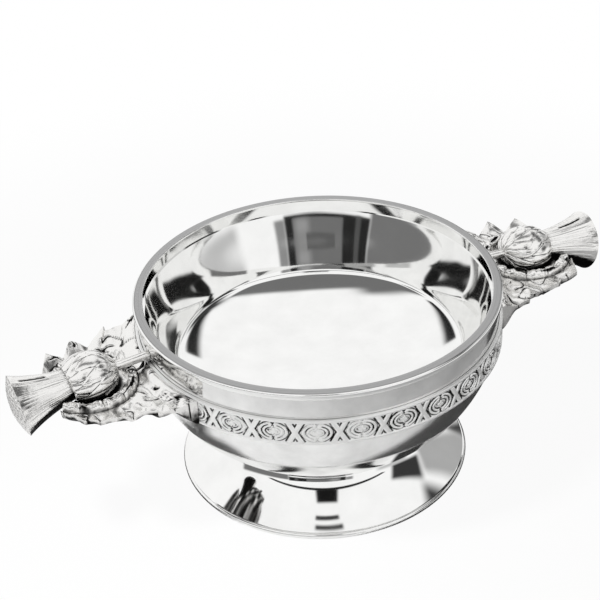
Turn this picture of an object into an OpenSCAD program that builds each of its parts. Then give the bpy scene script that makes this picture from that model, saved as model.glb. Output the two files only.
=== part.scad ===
// Quaich: a shallow two-handled drinking bowl in pewter, on a low foot, with a thistle lug on each side.
// Sizes are in millimetres. +Z is up, the lugs lie along X, and the origin is on the table under the bowl.

/* [Bowl] */
// Height of the lip above the table
bowl_h = 62.8; // [60:0.1:68]
// Outer diameter of the upright upper wall
wall_d = 112; // [108:0.5:118]
// Thickness of the spun sheet
sheet = 1.2; // [0.8:0.1:1.5]
// Thickness of a soldered joint between round faces
solder = 0.1; // [0.05:0.05:0.15]
// How far the belly's upper curve draws in from the wall
belly_in = 4.6; // [3:0.1:6]
// How far the pull of the upper curve reaches below the band
belly_pull = 16.4; // [12:0.1:18]
// How far the belly's lower curve draws in from the wall
keel_in = 12.5; // [10:0.1:16]
// How far the pull of the lower curve reaches below the band
keel_pull = 24.2; // [22:0.1:26]
// Diameter of the bowl where its belly turns into its underside
keel_d = 57.4; // [52:0.1:60]
// Height of that turn above the bowl's flat underside
keel_rise = 2.8; // [2.2:0.1:3.4]
// Height of the bowl's flat underside above the table
base_z = 8; // [7:0.1:9]
// Diameter of the flat of the underside
base_d = 42; // [36:0.5:46]

/* [Rim] */
// How far the rim's bead stands out from the wall
bead_out = 1; // [0.5:0.1:1.5]
// Height of the rim's bead
bead_h = 2.2; // [1.6:0.1:3]
// Radius of the bead's rounded edges
bead_round = 0.7; // [0.3:0.05:0.75]
// Width of the flat lip
lip_w = 3.1; // [2.8:0.1:4]
// Height of the upright face inside the lip
lip_face = 4.3; // [3.5:0.1:6]

/* [Liner] */
// How far the liner stands in from the lip's inner face
liner_step = 0.4; // [0.1:0.1:1]
// Outward bow of the liner's wall under the lip
wall_bow = 0.5; // [0:0.05:1]
// Inward swell of the liner's wall above its floor
wall_swell = 0.25; // [0:0.05:1]
// Diameter of the floor at its corner
floor_d = 90.5; // [84:0.5:94]
// Depth of the floor's corner below the lip
floor_depth = 23.5; // [20:0.1:27]
// Dish of the floor, from its corner to its middle
floor_dish = 5.6; // [2:0.1:8]
// How flat the dish is in its middle: 2 is an even dish, and more is flatter
floor_flat = 3; // [2:0.1:4]
// Length of the wall and of the floor that the rounded corner takes up
corner = 2; // [1.5:0.1:4]

/* [Band] */
// Depth of the band's top edge below the lip
band_drop = 9.2; // [8:0.1:11]
// Width of the band
band_w = 8.4; // [7:0.1:10]
// Thickness of the band at its raised borders
band_t = 1.1; // [0.8:0.05:1.4]
// Depth of the band's sunk ground
band_sunk = 0.4; // [0.2:0.05:0.6]
// Width of each raised border
border_w = 0.9; // [0.5:0.1:1.2]

/* [Foot] */
// Diameter of the foot
foot_d = 92.6; // [86:0.5:100]
// Thickness of the foot's half-round edge
foot_edge = 1.8; // [1.4:0.1:2.4]
// Width of the flat ring that the foot rests on
foot_rest = 2.4; // [1.8:0.1:3.5]
// Diameter of the foot's neck under the bowl
neck_d = 60; // [54:0.5:64]
// How far the neck reaches up past the bowl's flat underside before it is cut to the belly
neck_up = 5; // [4.6:0.1:6]
// How far the neck's curve runs down before it spreads
neck_run = 4.2; // [3:0.1:6]
// How far the neck's curve spreads on that run
neck_spread = 1.5; // [0.5:0.1:3]
// How far the foot's flat part reaches in from the edge
spread_run = 8.4; // [5:0.1:10]
// How far the foot's flat part rises on that reach
spread_rise = 2.4; // [1.6:0.1:3.2]

/* [Thistle] */
// Distance of the ball's centre from the upper wall
ball_out = 19; // [17.5:0.1:21]
// Depth of the ball's centre below the lip
ball_drop = 8.8; // [8.4:0.1:9.6]
// Diameter of the ball, seen from above
ball_d = 17.6; // [16:0.1:18]
// Height of the ball
ball_h = 14; // [12.6:0.1:15]
// Length of the plume along its axis, without its domed end
plume_l = 15.8; // [12:0.1:18]
// Diameter of the plume where it leaves the ball
plume_neck_d = 9.6; // [8:0.1:10]
// Diameter of the plume at its end
plume_d = 19; // [17:0.1:20]
// Outward swell of the plume's sides near the ball
plume_swell = 0.9; // [0:0.1:1.5]
// Inward draw of the plume's sides near the end
plume_draw = 2.6; // [1.5:0.1:3]
// Height of the plume's domed end
plume_dome = 2.4; // [1:0.1:3]
// Downward slope of the plume, in degrees
droop = 8; // [5:0.5:11]
// Diameter of the stem
stem_d = 3; // [2.4:0.1:3.4]
// Height of the stem above the band where it meets the wall
stem_clear = 0.4; // [0.2:0.1:1]

/* [Leaf] */
// Inner radius of the raised ring round the ball
ring_in = 10.9; // [10.5:0.1:11.4]
// Outer radius of the raised ring round the ball
ring_out = 14.4; // [13.6:0.1:14.8]
// Gap between the ring and the stem that crosses it
ring_gap = 0.25; // [0.2:0.05:0.4]
// Depth of the groove's floor below the ball's centre
groove_drop = 3.5; // [3:0.1:4.4]
// Width of the slope on each side of the ring
ring_slope = 0.7; // [0.3:0.05:1]
// Depth of the lobes' mean level below the ball's centre
leaf_drop = 2.2; // [1.6:0.1:3]
// How far the lobes sink where they leave the ring
lobe_sink = 0.9; // [0.4:0.1:1.2]
// Distance of the first lobe's tip from the ball's axis
lobe_tip = 20.5; // [19:0.1:21.5]
// How much further the second lobe's tip reaches, and a quarter of the third one's reach
lobe_grow = 1.6; // [1:0.1:1.8]
// Depth of the valleys between the lobes' tips
lobe_cut = 3; // [2:0.1:3.5]
// How far the lobes' folds rise and fall
lobe_fold = 1.5; // [0.5:0.1:2]
// Angle from the plume to the leaf's cut side, in degrees
notch = 38; // [36:0.5:42]
// Width of the leaf outside the ring at its cut side
notch_rim = 0.8; // [0.5:0.1:1.5]
// Angle from the plume to the first lobe's tip, in degrees
first_lobe = 68; // [66:0.5:69]
// Angle between two lobes, in degrees
lobe_angle = 25; // [24:0.5:26]
// Number of lobes on each side of the plume
lobe_count = 3; // [2:1:3]
// Thickness of the lobes
leaf_t = 1.8; // [1.2:0.1:2.4]
// Thickness of the leaf beside the ring
ring_t = 2.5; // [2:0.1:3]
// Thickness of the leaf under the ball
seat_t = 1.2; // [1:0.1:2]
// Gap between the ball and its seat in the leaf
seat_gap = 0.2; // [0.15:0.05:0.3]
// Reach of the leaf's root along the band, in degrees round the bowl
root_reach = 27; // [25:0.5:30]
// Length over which the root thickens towards the band
root_len = 5; // [3:0.1:7]

/* [Hidden] */
$fn = 120;

bright = [0.86, 0.87, 0.88];
satin = [0.72, 0.73, 0.74];
cast = [0.80, 0.80, 0.79];

// Radii and heights of the bowl
wall_r = wall_d / 2;
wall_in = wall_r - sheet;
rim_r = wall_r + bead_out;
lip_in = rim_r - lip_w;
leg_out = wall_in - solder;
bead_z = bowl_h - bead_h;
face_z = bowl_h - lip_face;
liner_in = lip_in - liner_step;
floor_r = floor_d / 2;
floor_z = bowl_h - floor_depth;
band_top = bowl_h - band_drop;
band_low = band_top - band_w;
band_in = wall_r + solder;
band_r = wall_r + band_t;

// Radii of the foot
edge_r = foot_edge / 2;
edge_mid = foot_d / 2 - edge_r;
neck_r = neck_d / 2;

// Places of the lug
ball_r = ball_d / 2;
ball_up = ball_h / 2;
ball_x = wall_r + ball_out;
ball_z = bowl_h - ball_drop;
stem_r = stem_d / 2;
stem_z = band_top + stem_r + stem_clear;
plume_neck_r = plume_neck_d / 2;
plume_r = plume_d / 2;
plume_start = ball_r * sqrt(1 - pow(plume_neck_r / ball_up, 2));

// Places of the leaf, seen from the ball's axis
root_r = band_r + solder;
root_high = band_top - ball_z;
root_low = band_low - ball_z;
seat_r = ball_r + seat_gap;
seat_up = ball_up + seat_gap;
seat_edge = seat_r * sqrt(1 - pow(groove_drop / seat_up, 2));
seat_low = seat_up + seat_t;
stem_over_ring = (stem_z - ball_z) * (ring_in + ring_slope) / ball_out;
ring_drop = stem_r - stem_over_ring + ring_gap;
last_lobe = first_lobe + (lobe_count - 1) * lobe_angle;
function root_point(turn) = root_r * [cos(turn), sin(turn)] - [ball_x, 0];
function root_angle(turn) = atan2(root_point(turn)[1], root_point(turn)[0]);
root_tip = root_point(root_reach);
root_tip_angle = root_angle(root_reach);
function polar(r, angle) = r * [cos(angle), sin(angle)];
notch_corner = polar(ring_out + notch_rim, notch);
first_tip = polar(lobe_tip, first_lobe);
last_tip = polar(lobe_tip + lobe_grow * pow(lobe_count - 1, 2), last_lobe);

function unit(v) = v / norm(v);
function reversed(list) = [for (i = [len(list) - 1 : -1 : 0]) list[i]];
function rest(list) = [for (i = [1 : len(list) - 1]) list[i]];
function mixed(a, b, t) = a + (b - a) * t;
function eased(t) = t * t * (3 - 2 * t);
function clamped(t) = min(max(t, 0), 1);

// Points along a curve from a to d, pulled towards b and c
function curve(a, b, c, d, steps = 14) = [
    for (i = [0 : steps])
        let (t = i / steps, s = 1 - t)
            s * s * s * a + 3 * s * s * t * b + 3 * s * t * t * c + t * t * t * d
];

// Points along an arc round a centre, from one angle to another
function arc(centre, r, from, to, steps = 8) = [
    for (i = [0 : steps])
        let (angle = mixed(from, to, i / steps))
            centre + r * [cos(angle), sin(angle)]
];

// The point after the i-th one, mirrored where a line ends on the axis
function after(line, i) =
    i < len(line) - 1 ? line[i + 1]
    : line[i][0] == 0 ? [-line[i - 1][0], line[i - 1][1]]
    : line[i];

// A line moved sideways by t, to the left of its own direction
function shifted(line, t) = [
    for (i = [0 : len(line) - 1])
        let (along = unit(after(line, i) - line[max(i - 1, 0)]))
            line[i] + t * [-along[1], along[0]]
];

// A sheet of even thickness to the right of a line, turned round the axis
function sheet_outline(line, t) = concat(line, reversed(shifted(line, -t)));

// Outer line of the body, from the top of its wall to the middle of its underside
keel_end = [keel_d / 2, base_z + keel_rise];
keel_from = [wall_r - keel_in, band_low - keel_pull];
belly_line = curve(
    [wall_r, band_low],
    [wall_r - belly_in, band_low - belly_pull],
    keel_from,
    keel_end
);
base_from = keel_end + (keel_end - keel_from) * keel_rise / (keel_from[1] - base_z);
base_line = curve(keel_end, base_from, [base_d / 2, base_z], [0, base_z], 10);
body_line = concat([[wall_r, bead_z]], belly_line, rest(base_line));

module body() {
    color(bright)
        rotate_extrude()
            polygon(sheet_outline(body_line, sheet));
}

// Inner line of the liner, from its top to the middle of the floor
liner_top = [liner_in, face_z];
liner_corner = [floor_r, floor_z];
function floor_at(r) = [r, floor_z - floor_dish * (1 - pow(r / floor_r, floor_flat))];
corner_from = liner_corner + corner * unit(liner_top - liner_corner);
corner_to = floor_at(floor_r - corner);
wall_run = corner_from - liner_top;
wall_away = unit([-wall_run[1], wall_run[0]]);
floor_steps = 12;
liner_line = concat(
    curve(
        liner_top,
        liner_top + wall_run / 3 + wall_bow * wall_away,
        liner_top + wall_run * 2 / 3 - wall_swell * wall_away,
        corner_from,
        10
    ),
    rest(curve(corner_from, liner_corner, liner_corner, corner_to, 8)),
    [for (i = [floor_steps - 1 : -1 : 0]) floor_at(corner_to[0] * i / floor_steps)]
);

module liner() {
    color(bright)
        rotate_extrude()
            polygon(concat(
                liner_line,
                reversed(rest(shifted(liner_line, sheet))),
                [[leg_out, face_z - sheet], [leg_out, face_z]]
            ));
}

module rim_ring() {
    low = [rim_r - bead_round, bead_z + bead_round];
    high = [rim_r - bead_round, bowl_h - bead_round];
    color(satin)
        rotate_extrude()
            polygon(concat(
                [[lip_in, face_z], [leg_out, face_z], [leg_out, bead_z]],
                arc(low, bead_round, -90, 0),
                arc(high, bead_round, 0, 90),
                [[lip_in, bowl_h]]
            ));
}

module band() {
    ground = band_r - band_sunk;
    color(cast)
        rotate_extrude()
            polygon([
                [band_in, band_low],
                [band_r, band_low],
                [band_r, band_low + border_w],
                [ground, band_low + border_w],
                [ground, band_top - border_w],
                [band_r, band_top - border_w],
                [band_r, band_top],
                [band_in, band_top]
            ]);
}

module foot() {
    edge_top = [edge_mid, foot_edge];
    neck_top = [neck_r, base_z + neck_up];
    rest_in = edge_mid - foot_rest;
    trumpet = curve(
        neck_top,
        neck_top + [neck_spread, -neck_run],
        edge_top + [-spread_run, spread_rise],
        edge_top
    );
    color(bright)
        rotate_extrude()
            difference() {
                polygon(concat(
                    trumpet,
                    arc([edge_mid, edge_r], edge_r, 90, -90),
                    [[rest_in, 0]],
                    [for (p = reversed(shifted(trumpet, -sheet))) if (p[0] < rest_in) p]
                ));
                polygon(concat(shifted(body_line, solder), [[0, bead_z]]));
            }
}

// A thistle on the right: stem, ball and plume in one casting
module thistle() {
    plume_end = plume_start + plume_l;
    dome_r = (plume_r * plume_r + plume_dome * plume_dome) / (2 * plume_dome);
    dome_angle = asin(plume_r / dome_r);
    plume_outline = concat(
        [[0, 0], [plume_neck_r, 0]],
        curve(
            [plume_neck_r, plume_start],
            [plume_neck_r + plume_swell, plume_start + plume_l / 3],
            [plume_r - plume_draw, plume_end - plume_l / 3],
            [plume_r, plume_end],
            8
        ),
        arc([0, plume_end + plume_dome - dome_r], dome_r, 90 - dome_angle, 90)
    );
    stem_rise = atan2(stem_z - ball_z, ball_out);
    ball_step = 6;
    color(cast)
        difference() {
            translate([ball_x, 0, ball_z]) {
                rotate_extrude()
                    polygon([
                        for (angle = [-90 : ball_step : 90])
                            [ball_r * cos(angle), ball_up * sin(angle)]
                    ]);
                rotate([0, 90 + droop, 0])
                    rotate_extrude()
                        polygon(plume_outline);
                rotate([0, stem_rise - 90, 0])
                    cylinder(h = ball_out + sheet, r = stem_r);
            }
            cylinder(h = bowl_h, r = wall_r + solder);
        }
}

// Place among the lobes at an angle from the plume: 0 on the first tip, 1 on the second
function lobe_place(angle) = (angle - first_lobe) / lobe_angle;

// Closeness to a lobe's tip: 1 on the tip, 0 in a valley, a half at the leaf's cut side and along its root
function lobe(angle) =
    let (u = lobe_place(angle))
        angle < first_lobe ? 1 - (first_lobe - angle) / (first_lobe - notch) / 2
        : angle > last_lobe ? 0.5
        : 1 - 2 * abs(u - round(u));

// Distance from the ball's axis to the bowl along an angle
function to_bowl(angle) =
    let (c = ball_x * cos(angle))
        -c - sqrt(max(c * c - ball_x * ball_x + root_r * root_r, 0));

// Distance from the ball's axis to the straight line through two points along an angle
function to_line(p, q, angle) =
    let (
        side = q - p,
        ray = polar(1, angle)
    )
        (p[0] * side[1] - p[1] * side[0]) / (ray[0] * side[1] - ray[1] * side[0]);

// Distance from the ball's axis to the lobes' edge along an angle
function lobe_edge(angle) =
    lobe_tip + lobe_grow * pow(lobe_place(angle), 2) - lobe_cut * (1 - lobe(angle));

// Distance from the ball's axis to the leaf's edge along an angle
function leaf_edge(angle) =
    angle < first_lobe ? to_line(notch_corner, first_tip, angle)
    : angle <= last_lobe ? lobe_edge(angle)
    : angle <= root_tip_angle ? to_line(last_tip, root_tip, angle)
    : to_bowl(angle);

// Angles of the leaf's spokes, from one side of the plume round by the bowl to the other
cut_steps = 4;
lobe_steps = 4;
edge_steps = 4;
bowl_steps = 8;
half_angles = concat(
    [for (i = [0 : cut_steps - 1]) mixed(notch, first_lobe, i / cut_steps)],
    [for (i = [0 : lobe_steps * (lobe_count - 1)]) first_lobe + i * lobe_angle / lobe_steps],
    [for (i = [1 : edge_steps]) mixed(last_lobe, root_tip_angle, i / edge_steps)],
    [for (i = [1 : bowl_steps]) root_angle(root_reach * (1 - i / bowl_steps))]
);
spokes = concat(
    half_angles,
    [for (i = [len(half_angles) - 2 : -1 : 0]) 360 - half_angles[i]]
);

// Distances along a spoke: seat, groove, ring and lobes
seat_stations = 5;
lobe_stations = 3;
function stations(edge) = concat(
    [for (i = [1 : seat_stations]) seat_edge * sin(90 * i / seat_stations)],
    [ring_in, ring_in + ring_slope, ring_out - ring_slope, ring_out],
    [for (i = [1 : lobe_stations]) mixed(ring_out, edge, i / lobe_stations)]
);

// Closeness to the bowl: 0 beyond the root's length, 1 at the band
function nearness(p) = eased(clamped(1 - (norm([ball_x + p[0], p[1]]) - root_r) / root_len));

// Heights of the leaf's upper and lower faces at a distance d along a spoke, from the ball's centre
function lobe_share(d, edge) = clamped((d - ring_out) / (edge - ring_out));
function leaf_high(d, edge, fold) =
    d <= seat_edge ? -seat_up * sqrt(1 - pow(d / seat_r, 2))
    : d <= ring_in ? -groove_drop
    : d < ring_out ? -ring_drop
    : -leaf_drop - lobe_sink + lobe_share(d, edge) * (lobe_sink + lobe_fold * (2 * fold - 1));
function leaf_low(d, edge, fold) =
    let (
        share = lobe_share(d, edge),
        dish = pow(min(d, ring_out) / ring_out, 2)
    )
        mixed(
            mixed(-seat_low, -leaf_drop - lobe_sink - ring_t, dish),
            leaf_high(d, edge, fold) - leaf_t,
            share
        );

// One spoke of the leaf as two rows of points, one on each face
function spoke(angle, upper) =
    let (
        side = angle > 180 ? 360 - angle : angle,
        edge = leaf_edge(side),
        fold = lobe(side)
    )
        [
            for (d = stations(edge))
                let (
                    p = d * [cos(angle), sin(angle)],
                    near = d > ring_in ? nearness(p) : 0,
                    z = upper
                        ? mixed(leaf_high(d, edge, fold), root_high, near)
                        : mixed(leaf_low(d, edge, fold), root_low, near)
                )
                    [p[0], p[1], z]
        ];

// A leaf on the right: seat, ring, folded lobes and root in one casting
module leaf() {
    n = len(spokes);
    m = len(stations(lobe_tip));
    low = 1 + n * m;
    function up(i, k) = k < 0 ? 0 : 1 + i * m + k;
    function down(i, k) = k < 0 ? low : low + 1 + i * m + k;
    points = concat(
        [[0, 0, -seat_up]],
        [for (a = spokes) each spoke(a, true)],
        [[0, 0, -seat_low]],
        [for (a = spokes) each spoke(a, false)]
    );
    upper_faces = [
        for (i = [0 : n - 2], k = [0 : m - 1])
            each k == 0
                ? [[up(i, 0), up(i, -1), up(i + 1, 0)]]
                : [[up(i, k), up(i, k - 1), up(i + 1, k - 1)], [up(i, k), up(i + 1, k - 1), up(i + 1, k)]]
    ];
    lower_faces = [
        for (i = [0 : n - 2], k = [0 : m - 1])
            each k == 0
                ? [[down(i, -1), down(i, 0), down(i + 1, 0)]]
                : [[down(i, k - 1), down(i, k), down(i + 1, k - 1)],
                   [down(i + 1, k - 1), down(i, k), down(i + 1, k)]]
    ];
    edge_faces = [
        for (i = [0 : n - 2])
            each [[up(i, m - 1), up(i + 1, m - 1), down(i, m - 1)],
                  [down(i, m - 1), up(i + 1, m - 1), down(i + 1, m - 1)]]
    ];
    end_faces = [
        for (k = [0 : m - 1])
            each [[up(0, k - 1), up(0, k), down(0, k)],
                  [up(0, k - 1), down(0, k), down(0, k - 1)],
                  [up(n - 1, k), up(n - 1, k - 1), down(n - 1, k)],
                  [down(n - 1, k), up(n - 1, k - 1), down(n - 1, k - 1)]]
    ];
    color(cast)
        translate([ball_x, 0, ball_z])
            polyhedron(points, concat(upper_faces, lower_faces, edge_faces, end_faces));
}

module leaf_right() { leaf(); }
module leaf_left() { rotate([0, 0, 180]) leaf(); }
module thistle_right() { thistle(); }
module thistle_left() { rotate([0, 0, 180]) thistle(); }

liner();
body();
rim_ring();
band();
foot();
leaf_left();
leaf_right();
thistle_left();
thistle_right();
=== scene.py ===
# Quaich in pewter: the looks of the bowl, the foot, the band and the two thistle lugs.
# Shapes are worked out in millimetres, with +Z up and the lugs along X, and add_piece turns them into metres.
import math

import bpy
import numpy as np
from mathutils import Matrix, Vector


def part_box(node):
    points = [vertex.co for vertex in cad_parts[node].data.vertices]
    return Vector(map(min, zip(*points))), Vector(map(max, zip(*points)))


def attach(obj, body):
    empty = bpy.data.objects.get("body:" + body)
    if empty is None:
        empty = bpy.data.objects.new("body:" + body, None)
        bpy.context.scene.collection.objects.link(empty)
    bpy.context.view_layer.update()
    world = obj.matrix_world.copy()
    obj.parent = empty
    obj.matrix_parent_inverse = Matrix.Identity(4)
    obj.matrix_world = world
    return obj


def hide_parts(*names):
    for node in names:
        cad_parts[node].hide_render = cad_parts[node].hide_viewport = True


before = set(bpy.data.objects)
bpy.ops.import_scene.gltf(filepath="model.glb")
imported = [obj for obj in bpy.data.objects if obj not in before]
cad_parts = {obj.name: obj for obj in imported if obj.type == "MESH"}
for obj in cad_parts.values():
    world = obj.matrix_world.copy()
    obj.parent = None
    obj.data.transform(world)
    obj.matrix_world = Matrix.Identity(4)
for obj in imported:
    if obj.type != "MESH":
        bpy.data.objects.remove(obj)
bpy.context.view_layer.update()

METRE = 1000.0
TURN = 2 * math.pi


def node_box(name):
    """Lowest and highest corner of a node, in millimetres."""
    low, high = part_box(name)
    return np.array(low) * METRE, np.array(high) * METRE


# Sizes taken from the frame
BOWL_H = node_box("rim_ring")[1][2]
FACE_Z = node_box("rim_ring")[0][2]
RIM_R = node_box("rim_ring")[1][1]
WALL_R = node_box("body")[1][1]
WALL_TOP = node_box("body")[1][2]
BASE_Z = node_box("body")[0][2]
BAND_LOW, BAND_TOP = node_box("band")[0][2], node_box("band")[1][2]
BAND_R = node_box("band")[1][1]
FOOT_R = node_box("foot")[1][1]

# Sizes of the sheet metal, as in the solids
SHEET = 1.2
SOLDER = 0.1
LIP_IN = RIM_R - 3.1
LEG_OUT = WALL_R - SHEET - SOLDER
BEAD_ROUND = 0.7
LINER_IN = LIP_IN - 0.4
FLOOR_R = 45.25
FLOOR_Z = BOWL_H - 23.5
FLOOR_DISH = 5.6
FLOOR_FLAT = 3.0
CORNER = 2.0
WALL_BOW = 0.5
WALL_SWELL = 0.25
KEEL = (28.7, BASE_Z + 2.8)
FOOT_EDGE = 1.8
FOOT_REST = 2.4

# Pulls on the body's curved line, across and up, and the place of the pull on its underside
BELLY_PULL = (-4.6, -16.4)
KEEL_PULL = (-12.5, -24.2)
BASE_PULL_R = 21.0

# The foot's line, which is fuller than in the solids
NECK_R = 33.0
NECK_UP = 6.0
NECK_EDGE = 1.0
NECK_PULL = (1.5, -4.0)
EDGE_PULL = (-6.0, 4.0)

# Places of the lug, as in the solids
BALL_R = 8.8
BALL_UP = 7.0
BALL_X = WALL_R + 19
BALL_Z = BOWL_H - 8.8
DROOP = math.radians(8)
STEM_R = 1.5
STEM_Z = BAND_TOP + STEM_R + 0.4
PLUME_NECK_R = 4.8
PLUME_R = 9.5
PLUME_L = 15.8
PLUME_DOME = 2.4
PLUME_START = BALL_R * math.sqrt(1 - (PLUME_NECK_R / BALL_UP) ** 2)
ROOT_R = BAND_R + SOLDER


# Small helpers for shapes

def eased(t):
    """A smooth step, from 0 at 0 to 1 at 1."""
    t = np.clip(t, 0, 1)
    return t * t * (3 - 2 * t)


def mixed(a, b, t):
    """A value that is a part of the way from a to b."""
    return a + (b - a) * t


def curve(a, b, c, d, steps):
    """Points along a curve from a to d, pulled towards b and c."""
    t = np.linspace(0, 1, steps + 1)[:, None]
    a, b, c, d = (np.array(p, float) for p in (a, b, c, d))
    return (1 - t) ** 3 * a + 3 * (1 - t) ** 2 * t * b + 3 * (1 - t) * t ** 2 * c + t ** 3 * d


def arc(centre, radius, start, end, steps):
    """Points along an arc, with its angles in degrees."""
    angles = np.radians(np.linspace(start, end, steps + 1))
    return np.array(centre) + radius * np.stack([np.cos(angles), np.sin(angles)], 1)


def spaced(line, step):
    """The same line with points added, so that no two are further apart than a step."""
    points = [line[:1]]
    for a, b in zip(line[:-1], line[1:]):
        count = max(1, math.ceil(np.linalg.norm(b - a) / step))
        points.append(a + (b - a) * np.linspace(0, 1, count + 1)[1:, None])
    return np.concatenate(points)


def shifted(line, distance):
    """A line moved sideways, to the left of its own direction."""
    along = np.gradient(line, axis=0)
    along /= np.linalg.norm(along, axis=1)[:, None]
    return line + distance * np.stack([-along[:, 1], along[:, 0]], 1)


def waves(seed, count, low, high):
    """Frequencies, directions and phases of a few random waves, the same on each run."""
    random = np.random.RandomState(seed)
    return random.uniform(low, high, count), random.uniform(0, TURN, count), random.uniform(0, TURN, count)


def rippled(x, y, seed, count, low, high):
    """An uneven surface between about -1 and 1, made of waves with lengths from 1/high to 1/low."""
    total = 0
    for frequency, direction, phase in zip(*waves(seed, count, low, high)):
        total = total + np.sin(TURN * frequency * (x * math.cos(direction) + y * math.sin(direction)) + phase)
    return total / math.sqrt(count)


def skin(rows, ring=False, poles=None):
    """Points and faces of a stack of closed rows. The stack is a ring itself, or ends in two poles."""
    count, width = rows.shape[:2]
    points = rows.reshape(-1, 3)
    index = np.arange(count * width).reshape(count, width)
    if ring:
        index = np.concatenate([index, index[:1]])
    right = np.roll(index, -1, 1)
    quads = np.stack([index[:-1], right[:-1], right[1:], index[1:]], -1).reshape(-1, 4)
    faces = quads.tolist()
    if poles is not None:
        points = np.concatenate([points, poles])
        first, last = count * width, count * width + 1
        faces += [[first, b, a] for a, b in zip(index[0], right[0])]
        faces += [[last, a, b] for a, b in zip(index[-1], right[-1])]
    return points, faces


def turned(profile, segments):
    """Points and faces of a profile of radii and heights, turned round the Z axis."""
    ends_on_axis = profile[0][0] < 1e-6 and profile[-1][0] < 1e-6
    rim = profile[1:-1] if ends_on_axis else profile
    angles = np.arange(segments) * TURN / segments
    ring = np.stack([np.cos(angles), np.sin(angles)], 1)
    rows = np.zeros((len(rim), segments, 3))
    rows[:, :, :2] = rim[:, None, :1] * ring
    rows[:, :, 2] = rim[:, 1:]
    if not ends_on_axis:
        return skin(rows, ring=True)
    poles = np.array([[0, 0, profile[0][1]], [0, 0, profile[-1][1]]])
    return skin(rows, poles=poles)


def add_piece(name, shape, finishes, node, sharp=35, patina_and_painted_shade=None, turn=0.0):
    """Makes one piece, which stands for its node and rides on the only body."""
    points, faces = shape
    points = np.asarray(points, float) / METRE
    mesh = bpy.data.meshes.new(name)
    mesh.from_pydata((points @ np.array(Matrix.Rotation(turn, 3, "Z")).T).tolist(), [], faces)
    mesh.update()
    for finish in finishes:
        mesh.materials.append(finish)
    mesh.shade_smooth()
    mesh.set_sharp_from_angle(angle=math.radians(sharp))
    if patina_and_painted_shade is not None:
        depth = mesh.attributes.new("patina_and_painted_shade", "FLOAT", "POINT")
        depth.data.foreach_set("value", np.asarray(patina_and_painted_shade, np.float32))
    piece = bpy.data.objects.new(name, mesh)
    bpy.context.scene.collection.objects.link(piece)
    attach(piece, "root")
    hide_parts(node)
    return piece


# Small helpers for materials

def colour(code):
    """Linear colour of an sRGB hex value."""
    parts = [int(code[i:i + 2], 16) / 255 for i in (0, 2, 4)]
    linear = [p / 12.92 if p <= 0.04045 else ((p + 0.055) / 1.055) ** 2.4 for p in parts]
    return (*linear, 1.0)


def add_node(tree, kind, settings=None, inputs=None):
    """Adds a node. An input is a value, or the output socket of another node, which gets linked."""
    made = tree.nodes.new(kind)
    for name, value in (settings or {}).items():
        setattr(made, name, value)
    for name, value in (inputs or {}).items():
        if isinstance(value, bpy.types.NodeSocket):
            tree.links.new(value, made.inputs[name])
        else:
            made.inputs[name].default_value = value
    return made


def new_material(name):
    """A material whose tree holds nothing but its output."""
    material = bpy.data.materials.new(name)
    material.use_nodes = True
    tree = material.node_tree
    tree.nodes.clear()
    output = add_node(tree, "ShaderNodeOutputMaterial")
    return material, tree, output


def per_metre(length):
    """Scale of a pattern whose features are this many millimetres long."""
    return METRE / length


def polished_pewter(name, cloudy, dullest):
    """Spun pewter, buffed by hand: mirror bright, with a faint cloud and slow waves in its reflections."""
    material, tree, output = new_material(name)
    place = add_node(tree, "ShaderNodeTexCoord")
    cloud = add_node(tree, "ShaderNodeTexNoise", None,
                     {"Vector": place.outputs["Object"], "Scale": per_metre(9), "Detail": 4})
    tone = add_node(tree, "ShaderNodeValToRGB", None, {"Fac": cloud.outputs["Fac"]})
    tone.color_ramp.elements[0].position = 0.3
    tone.color_ramp.elements[0].color = colour(cloudy)
    tone.color_ramp.elements[1].position = 0.7
    tone.color_ramp.elements[1].color = colour("F8F8F7")
    dull = add_node(tree, "ShaderNodeMapRange", None,
                    {"Value": cloud.outputs["Fac"], "From Min": 0.3, "From Max": 0.7,
                     "To Min": dullest, "To Max": 0.04})
    wave = add_node(tree, "ShaderNodeTexNoise", None,
                    {"Vector": place.outputs["Object"], "Scale": per_metre(22), "Detail": 1})
    bump = add_node(tree, "ShaderNodeBump", None,
                    {"Height": wave.outputs["Fac"], "Strength": 0.2, "Distance": 0.0004})
    shader = add_node(tree, "ShaderNodeBsdfPrincipled", None,
                      {"Base Color": tone.outputs["Color"], "Metallic": 1.0,
                       "Roughness": dull.outputs["Result"], "Normal": bump.outputs["Normal"]})
    tree.links.new(shader.outputs[0], output.inputs["Surface"])
    return material


def satin_pewter():
    """Pewter left as the turning tool leaves it: a soft grey sheen with fine lines that follow the rim."""
    material, tree, output = new_material("satin_turned_pewter")
    place = add_node(tree, "ShaderNodeTexCoord")
    flat = add_node(tree, "ShaderNodeVectorMath", {"operation": "MULTIPLY"},
                    {0: place.outputs["Object"], 1: (1.0, 1.0, 0.0)})
    radius = add_node(tree, "ShaderNodeVectorMath", {"operation": "LENGTH"}, {0: flat.outputs[0]})
    # The real tool lines are about 0.1 mm apart, and are drawn coarser so that they show
    lines = add_node(tree, "ShaderNodeTexNoise", {"noise_dimensions": "1D"},
                     {"W": radius.outputs["Value"], "Scale": per_metre(0.5), "Detail": 3})
    tone = add_node(tree, "ShaderNodeValToRGB", None, {"Fac": lines.outputs["Fac"]})
    tone.color_ramp.elements[0].position = 0.3
    tone.color_ramp.elements[0].color = colour("9C9C9C")
    tone.color_ramp.elements[1].position = 0.7
    tone.color_ramp.elements[1].color = colour("B9B9B9")
    bump = add_node(tree, "ShaderNodeBump", None,
                    {"Height": lines.outputs["Fac"], "Strength": 0.3, "Distance": 0.00005})
    shader = add_node(tree, "ShaderNodeBsdfPrincipled", None,
                      {"Base Color": tone.outputs["Color"], "Metallic": 1.0,
                       "Roughness": 0.32, "Normal": bump.outputs["Normal"]})
    tree.links.new(shader.outputs[0], output.inputs["Surface"])
    return material


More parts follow.
